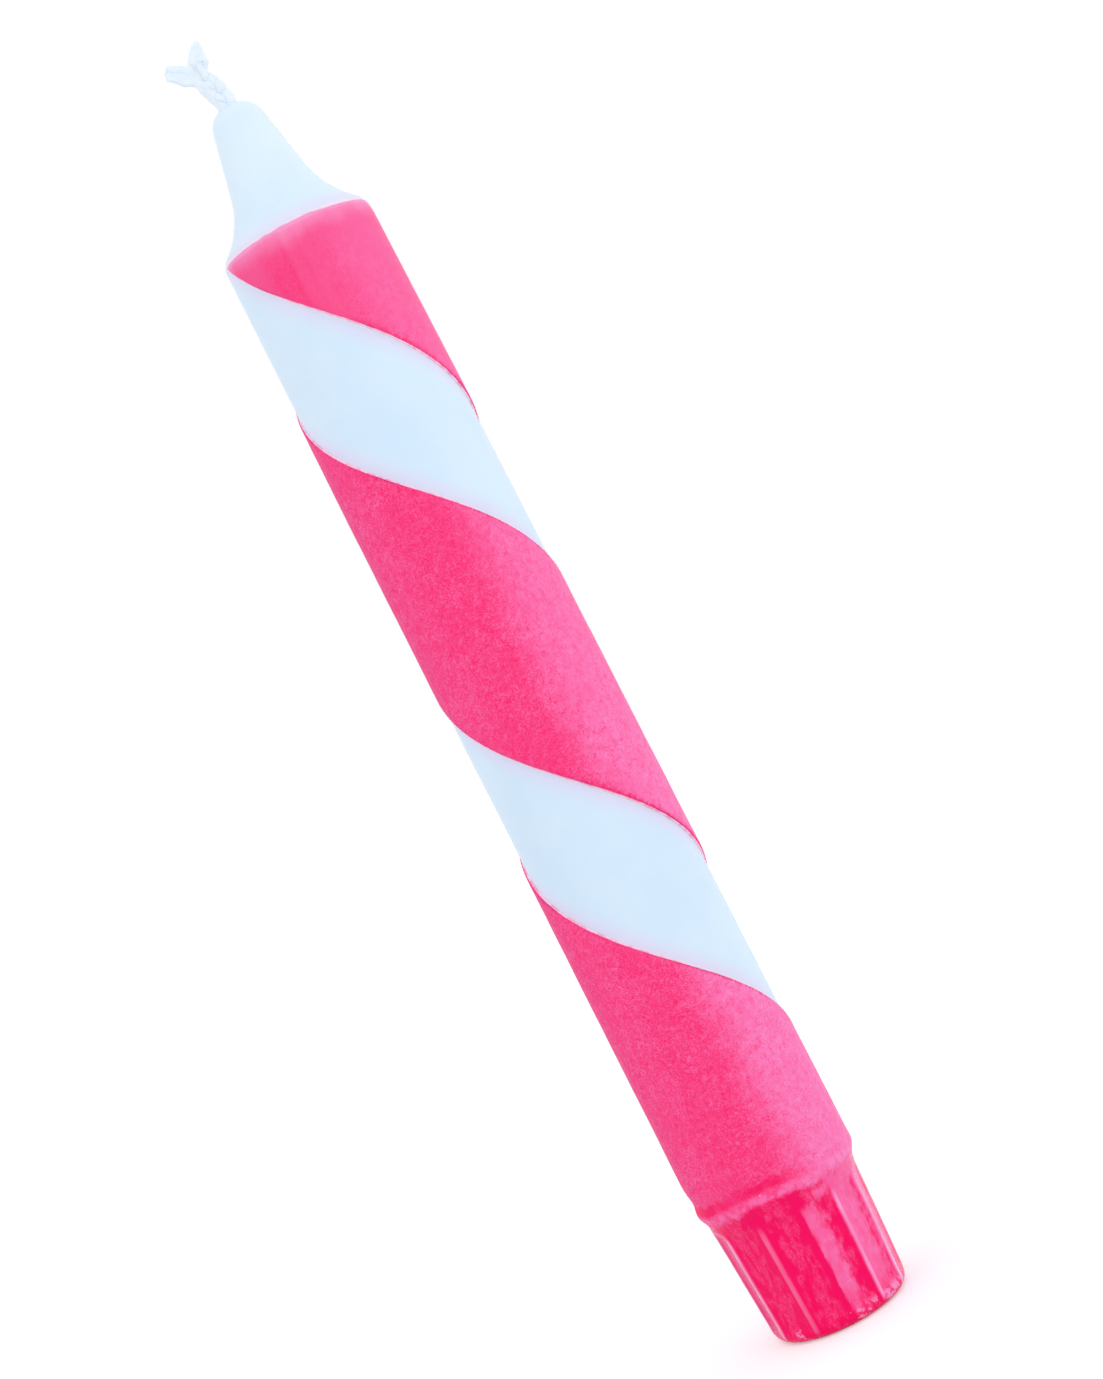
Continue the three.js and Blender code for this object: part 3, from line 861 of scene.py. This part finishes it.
gloss = spread(in_foot, body_roughness, foot_roughness)
roughness = plus(gloss, multiply(bloom, 0.06))
tree.links.new(roughness, shader.inputs["Roughness"])
relief = add_math("SUBTRACT", multiply(light, 0.7), dark)
relief = multiply(relief, bloom)
grain = add_node(tree, "ShaderNodeBump", {"Height": relief, "Strength": 0.35, "Distance": 0.03 * mm})
waves = add_node(tree, "ShaderNodeBump", {
    "Height": blotches,
    "Strength": 0.3,
    "Distance": 0.04 * mm,
    "Normal": grain.outputs[0],
})
tree.links.new(waves.outputs[0], shader.inputs["Normal"])
dress(skin, "pink_dip_coat", ["dip_coat"], pink)


# Wick
# Three cotton yarns plaited flat and soaked in wax. They run up through the candle, bend over to the left
# above it, and end cut and frayed, one in each tuft and one in a short end on the right.
strand_radius = 0.48 * mm
strand_spacing = 1.04 * mm
plait_sway = 0.96 * strand_spacing
plait_depth = 0.78 * strand_spacing
plait_pitch_in_wax = 20 * mm
plait_pitch_free = 7.5 * mm
free_plait_turns = 8 / 12
wick_bend_radius = 8.5 * mm
wick_recess = 0.3 * mm
wick_exit_radius = 1.58 * mm
wax_top = dome_height + dome_radius * math.sin(math.acos((wick_exit_radius - dome_centre) / dome_radius))
strand_phases = (math.radians(180), math.radians(300), math.radians(60))
frayed_ends = (
    {
        "length": 5.2 * mm,
        "lean": math.radians(49),
        "bow": -0.5 * mm,
        "bow_late": 1.0,
        "forward": 0.6 * mm,
        "half_width": 1.4 * mm,
        "tip_half_width": 1.0 * mm,
        "uneven": 0.04,
        "point": 0.07,
    },
    {
        "length": 2.3 * mm,
        "lean": math.radians(-35),
        "bow": 1.16 * mm,
        "bow_late": 1.8,
        "forward": 0.75 * mm,
        "half_width": 0.46 * mm,
        "tip_half_width": 0.4 * mm,
        "uneven": 0.02,
        "point": 0.0,
    },
    {
        "length": 5.45 * mm,
        "lean": math.radians(-13),
        "bow": 0.6 * mm,
        "bow_late": 1.0,
        "forward": -0.3 * mm,
        "half_width": 1.5 * mm,
        "tip_half_width": 0.3 * mm,
        "uneven": 0.03,
        "point": 0.06,
    },
)
tuft_swell_share = 0.2
tuft_widest_share = 0.4
wax_run = wax_top - wick_recess
buried_margin = 2 * mm
pull_at_wax = 0.65
pull_at_fork = 0.75
pull_run = 2.5 * mm

threads_a_strand = 7
thread_step = 0.15 * mm
thread_ring = 0.4 * mm
thread_radius = 0.27 * mm
free_yarn_radius = thread_ring + thread_radius
yarn_lay = 7 * mm
tuft_thread_radius = 0.42 * mm
tuft_thread_tip_radius = 0.3 * mm
tuft_lobes = 3
tuft_lobe_depth = 0.24 * mm
tuft_parting_share = 0.6
thread_wander = 0.1 * mm
thread_wave = 1.6 * mm
wax_core_radius = 1.0 * mm
core_half_width_at_wax = 1.15 * mm
core_half_width_at_fork = 1.5 * mm
core_bulge = 0.62 * mm
core_overrun = 1.3 * mm
buried_steps = 108
buried_sides = 8
film_cell = 0.07
settle_rounds = 18
fork_webs = (
    {"length": 3.0 * mm, "lean": math.radians(25), "radius": 0.9 * mm, "tip_radius": 0.42 * mm},
    {"length": 2.4 * mm, "lean": math.radians(4), "radius": 1.0 * mm, "tip_radius": 0.7 * mm},
)


def wick_middle(run):
    """Middle of the wick and its lean to the left at a run along it, counted from its end in the base."""
    lean = max(run - wax_run, 0) / wick_bend_radius
    across = wick_bend_radius * (math.cos(lean) - 1)
    return Vector((across, 0, wick_recess + min(run, wax_run) + wick_bend_radius * math.sin(lean))), lean


def strand_point(strand, run):
    """Middle of a strand at a run along the wick."""
    free_run = max(run - wax_run, 0)
    buried_run = max(wax_run - run, 0)
    turns_left = free_plait_turns - free_run / plait_pitch_free + buried_run / plait_pitch_in_wax
    phase = strand_phases[strand] - turns_left * math.tau
    pulled = pull_at_wax + (pull_at_fork - pull_at_wax) * min(free_run / pull_run, 1)
    pulled += (1 - pull_at_wax) * min(buried_run / buried_margin, 1)
    across = plait_sway * math.cos(phase) * pulled
    through = plait_depth * math.sin(2 * phase) * pulled
    middle, lean = wick_middle(run)
    return middle + Vector((math.cos(lean) * across, through, math.sin(lean) * across))


def frame_along(points, index):
    """Place and turn of a cross-section: X lies across the wick, Y through it and Z along the run."""
    before = points[max(index - 1, 0)]
    after = points[min(index + 1, len(points) - 1)]
    along = (after - before).normalized()
    across = Vector((0, 1, 0)).cross(along).normalized()
    turned = Matrix((across, along.cross(across), along)).transposed().to_4x4()
    return Matrix.Translation(points[index]) @ turned


def lay_buried_yarn(yarn, strand):
    """The plain round part of a strand inside the candle."""
    runs = [(wax_run - buried_margin) * step / buried_steps for step in range(buried_steps + 1)]
    points = [strand_point(strand, run) for run in runs]
    last = frame_along(points, 0)
    made = bmesh.ops.create_circle(
        yarn, cap_ends=True, segments=buried_sides, radius=strand_radius, matrix=last)
    end = made["verts"][0].link_faces[0]
    for step in range(1, buried_steps + 1):
        passed = end
        grown = bmesh.ops.extrude_face_region(yarn, geom=[passed], use_keep_orig=True)["geom"]
        end = next(part for part in grown if isinstance(part, bmesh.types.BMFace))
        here = frame_along(points, step)
        bmesh.ops.transform(yarn, matrix=here @ last.inverted(), verts=end.verts[:])
        last = here
        if step > 1:
            bmesh.ops.delete(yarn, geom=[passed], context="FACES_ONLY")
    bmesh.ops.recalc_face_normals(yarn, faces=yarn.faces[:])


def tuft_point(tuft, start, share):
    """Middle of a frayed end, on a line that bows out between the plait and the tip."""
    along = Vector((-math.sin(tuft["lean"]), 0, math.cos(tuft["lean"])))
    leftward = Vector((-math.cos(tuft["lean"]), 0, -math.sin(tuft["lean"])))
    bowed = leftward * tuft["bow"] * math.sin(math.pi * share ** tuft["bow_late"])
    return start + along * tuft["length"] * share + bowed + Vector((0, -tuft["forward"] * share, 0))


def tuft_half_width(tuft, share):
    """Half width of a frayed end, which swells out of the strand and draws in again at its tip."""
    swell = (free_yarn_radius + tuft["half_width"]) / 2
    marks = (
        (0, free_yarn_radius),
        (tuft_swell_share, swell),
        (tuft_widest_share, tuft["half_width"]),
        (1, tuft["tip_half_width"]),
    )
    for (low, low_width), (high, high_width) in zip(marks, marks[1:]):
        if share <= high:
            return low_width + (high_width - low_width) * (share - low) / (high - low)
    return tuft["tip_half_width"]


def twisted_offset(thread, index):
    """Place of a thread in its yarn, with one in the middle and the others twisted round it."""
    if thread == 0:
        return Vector()
    turned = (thread / (threads_a_strand - 1) + index * thread_step / yarn_lay) * math.tau
    return Vector((thread_ring * math.cos(turned), thread_ring * math.sin(turned), 0))


def add_line(curve, line):
    """Adds a round line to a curve from its points and radii, turned from metres to millimetres."""
    spline = curve.splines.new("POLY")
    spline.points.add(len(line) - 1)
    for point, (place, radius) in zip(spline.points, line):
        point.co = (*place / mm, 1)
        point.radius = radius / mm


def draw_wax_core(curve):
    """The wax that fills the plait, as two lines side by side, and two more in the fork of its ends."""
    steps = 40
    start = wax_run - buried_margin
    end = wax_run + free_plait_turns * plait_pitch_free + core_overrun
    for side in (-1, 1):
        line = []
        for step in range(steps + 1):
            share = step / steps
            middle, lean = wick_middle(start + (end - start) * share)
            widened = (core_half_width_at_fork - core_half_width_at_wax) * share
            half_width = core_half_width_at_wax + widened
            bulge = core_bulge * math.sin(math.pi * share**1.2) if side < 0 else 0
            beside = side * (half_width - wax_core_radius) - bulge
            place = middle + Vector((math.cos(lean), 0, math.sin(lean))) * beside
            line.append((place, wax_core_radius * (1 - 0.45 * max(share - 0.8, 0) / 0.2)))
        add_line(curve, line)
    fork, lean = wick_middle(wax_run + free_plait_turns * plait_pitch_free)
    for web in fork_webs:
        tip = fork + Vector((-math.sin(web["lean"]), 0, math.cos(web["lean"]))) * web["length"]
        line = []
        for step in range(steps + 1):
            share = step / steps
            radius = web["radius"] + (web["tip_radius"] - web["radius"]) * share
            line.append((fork.lerp(tip, share), radius))
        add_line(curve, line)


def draw_threads(strand):
    """A curve, in millimetres, of the threads in the part of a strand that shows."""
    tuft = frayed_ends[strand]
    plait_run = wax_run - buried_margin - 0.5 * mm
    plait_end = wax_run + free_plait_turns * plait_pitch_free
    steps = math.ceil((plait_end - plait_run) / thread_step)
    runs = [plait_run + (plait_end - plait_run) * step / steps for step in range(steps + 1)]
    points = [strand_point(strand, run) for run in runs]
    tuft_steps = math.ceil(tuft["length"] / thread_step)
    tuft_shares = [step / tuft_steps for step in range(1, tuft_steps + 1)]
    points += [tuft_point(tuft, points[-1], share) for share in tuft_shares]
    shares = [0.0] * (steps + 1) + tuft_shares
    frames = [frame_along(points, index) for index in range(len(points))]
    from_left = sorted(range(threads_a_strand), key=lambda thread: twisted_offset(thread, steps).x)

    curve = bpy.data.curves.new("threads", "CURVE")
    curve.dimensions = "3D"
    curve.bevel_depth = 1
    curve.bevel_resolution = 1
    curve.use_fill_caps = True
    for rank, thread in enumerate(from_left):
        beside = rank / (threads_a_strand - 1) * 2 - 1
        behind = 1 if rank * tuft_lobes // threads_a_strand % 2 else -1
        shortened = tuft["uneven"] * abs(noise.noise(Vector((rank * 1.7, strand, 0.4))))
        reach = 1 - shortened - tuft["point"] * abs(beside)
        line = []
        for index, share in enumerate(shares):
            if share > reach:
                break
            half_width = tuft_half_width(tuft, share)
            fanned = math.sin(min(share / tuft_widest_share, 1) * math.radians(90)) ** 2
            parted = max(share - tuft_parting_share, 0) / (1 - tuft_parting_share)
            parted = math.sin(parted * math.radians(90)) ** 2
            radius = thread_radius + (tuft_thread_radius - thread_radius) * fanned
            radius += (tuft_thread_tip_radius - tuft_thread_radius) * parted
            radius = min(radius, half_width) * (1 - 0.3 * max(share / reach - 0.9, 0) / 0.1)
            depth = behind * tuft_lobe_depth * (0.25 + 0.75 * parted)
            drift = noise.noise(Vector((index * thread_step / thread_wave, rank * 3.1, strand * 5.3)))
            in_tuft = Vector((beside * (half_width - radius) + thread_wander * drift, depth, 0))
            offset = twisted_offset(thread, min(index, steps)).lerp(in_tuft, fanned)
            line.append((frames[index] @ offset, radius))
        add_line(curve, line)
    if strand == 0:
        draw_wax_core(curve)
    return curve


def soak_in_wax(curve):
    """Threads run together by the wax that soaks them, as a mesh in millimetres."""
    bundle = bpy.data.objects.new("bundle", curve)
    bpy.context.scene.collection.objects.link(bundle)
    graph = bpy.context.evaluated_depsgraph_get()
    loose = bpy.data.meshes.new_from_object(bundle.evaluated_get(graph))
    bpy.data.objects.remove(bundle)
    soaked = bpy.data.objects.new("soaked", loose)
    bpy.context.scene.collection.objects.link(soaked)
    film = soaked.modifiers.new("film", "REMESH")
    film.mode = "VOXEL"
    film.voxel_size = film_cell
    settle = soaked.modifiers.new("settle", "SMOOTH")
    settle.factor = 0.5
    settle.iterations = settle_rounds
    graph = bpy.context.evaluated_depsgraph_get()
    fused = bpy.data.meshes.new_from_object(soaked.evaluated_get(graph))
    bpy.data.objects.remove(soaked)
    return fused


def mark_grooves(yarn):
    """Stores how deep each point lies between its neighbours, for the painted shade in the grooves."""
    groove = yarn.verts.layers.float.new("groove")
    for vert in yarn.verts:
        around = [edge.other_vert(vert).co for edge in vert.link_edges]
        middle = sum(around, Vector()) / len(around)
        vert[groove] = (middle - vert.co).dot(vert.normal) / mm
    for _ in range(3):
        depths = {vert: vert[groove] for vert in yarn.verts}
        for vert in yarn.verts:
            around = [depths[edge.other_vert(vert)] for edge in vert.link_edges]
            vert[groove] = (vert[groove] + sum(around)) / (1 + len(around))


cotton, tree, shader = new_finish("waxed_cotton", {
    "Subsurface Weight": 0.25,
    "Subsurface Radius": (1.0, 0.9, 0.9),
    "Subsurface Scale": 0.5 * mm,
    "IOR": 1.44,
})
cotton_pale = (0.83, 0.92, 1.0, 1)
cotton_milky = (0.78, 0.885, 0.995, 1)
cotton_shade_and_fibre = (0.50, 0.68, 0.97, 1)
place = add_node(tree, "ShaderNodeTexCoord").outputs["Object"]
cloud = use_group(tree, clouds, {"Place": place, "Size": 1.1 * mm})["Cloud"]
fibre_place = add_node(tree, "ShaderNodeMapping", {"Vector": place, "Scale": (1, 1, 0.25)}).outputs[0]
fibres = use_group(tree, crystals, {"Place": fibre_place, "Size": 0.22 * mm, "Width": 0.1})
depth = read_layer(tree, "groove")
colour = add_mix(cloud, cotton_pale, cotton_milky)
# Painted shade darkens the grooves, and the same blue draws faint dark fibres
colour = add_mix(add_ramp(depth, 0.002, 0.016, 0.0, 0.5), colour, cotton_shade_and_fibre)
colour = add_mix(multiply(fibres["Dark"], 0.03), colour, cotton_shade_and_fibre)
tree.links.new(colour, shader.inputs["Base Color"])
tree.links.new(spread(cloud, 0.4, 0.6), shader.inputs["Roughness"])
ridges = add_node(tree, "ShaderNodeBump", {
    "Height": fibres["Light"],
    "Strength": 0.1,
    "Distance": 0.03 * mm,
})
tree.links.new(ridges.outputs[0], shader.inputs["Normal"])

for strand in range(3):
    yarn = bmesh.new()
    yarn.from_mesh(soak_in_wax(draw_threads(strand)))
    bmesh.ops.scale(yarn, vec=(mm, mm, mm), verts=yarn.verts[:])
    yarn.normal_update()
    lay_buried_yarn(yarn, strand)
    yarn.normal_update()
    mark_grooves(yarn)
    dress(yarn, f"wick_yarn_{strand + 1}", [f"wick_strand_{strand + 1}"], cotton)
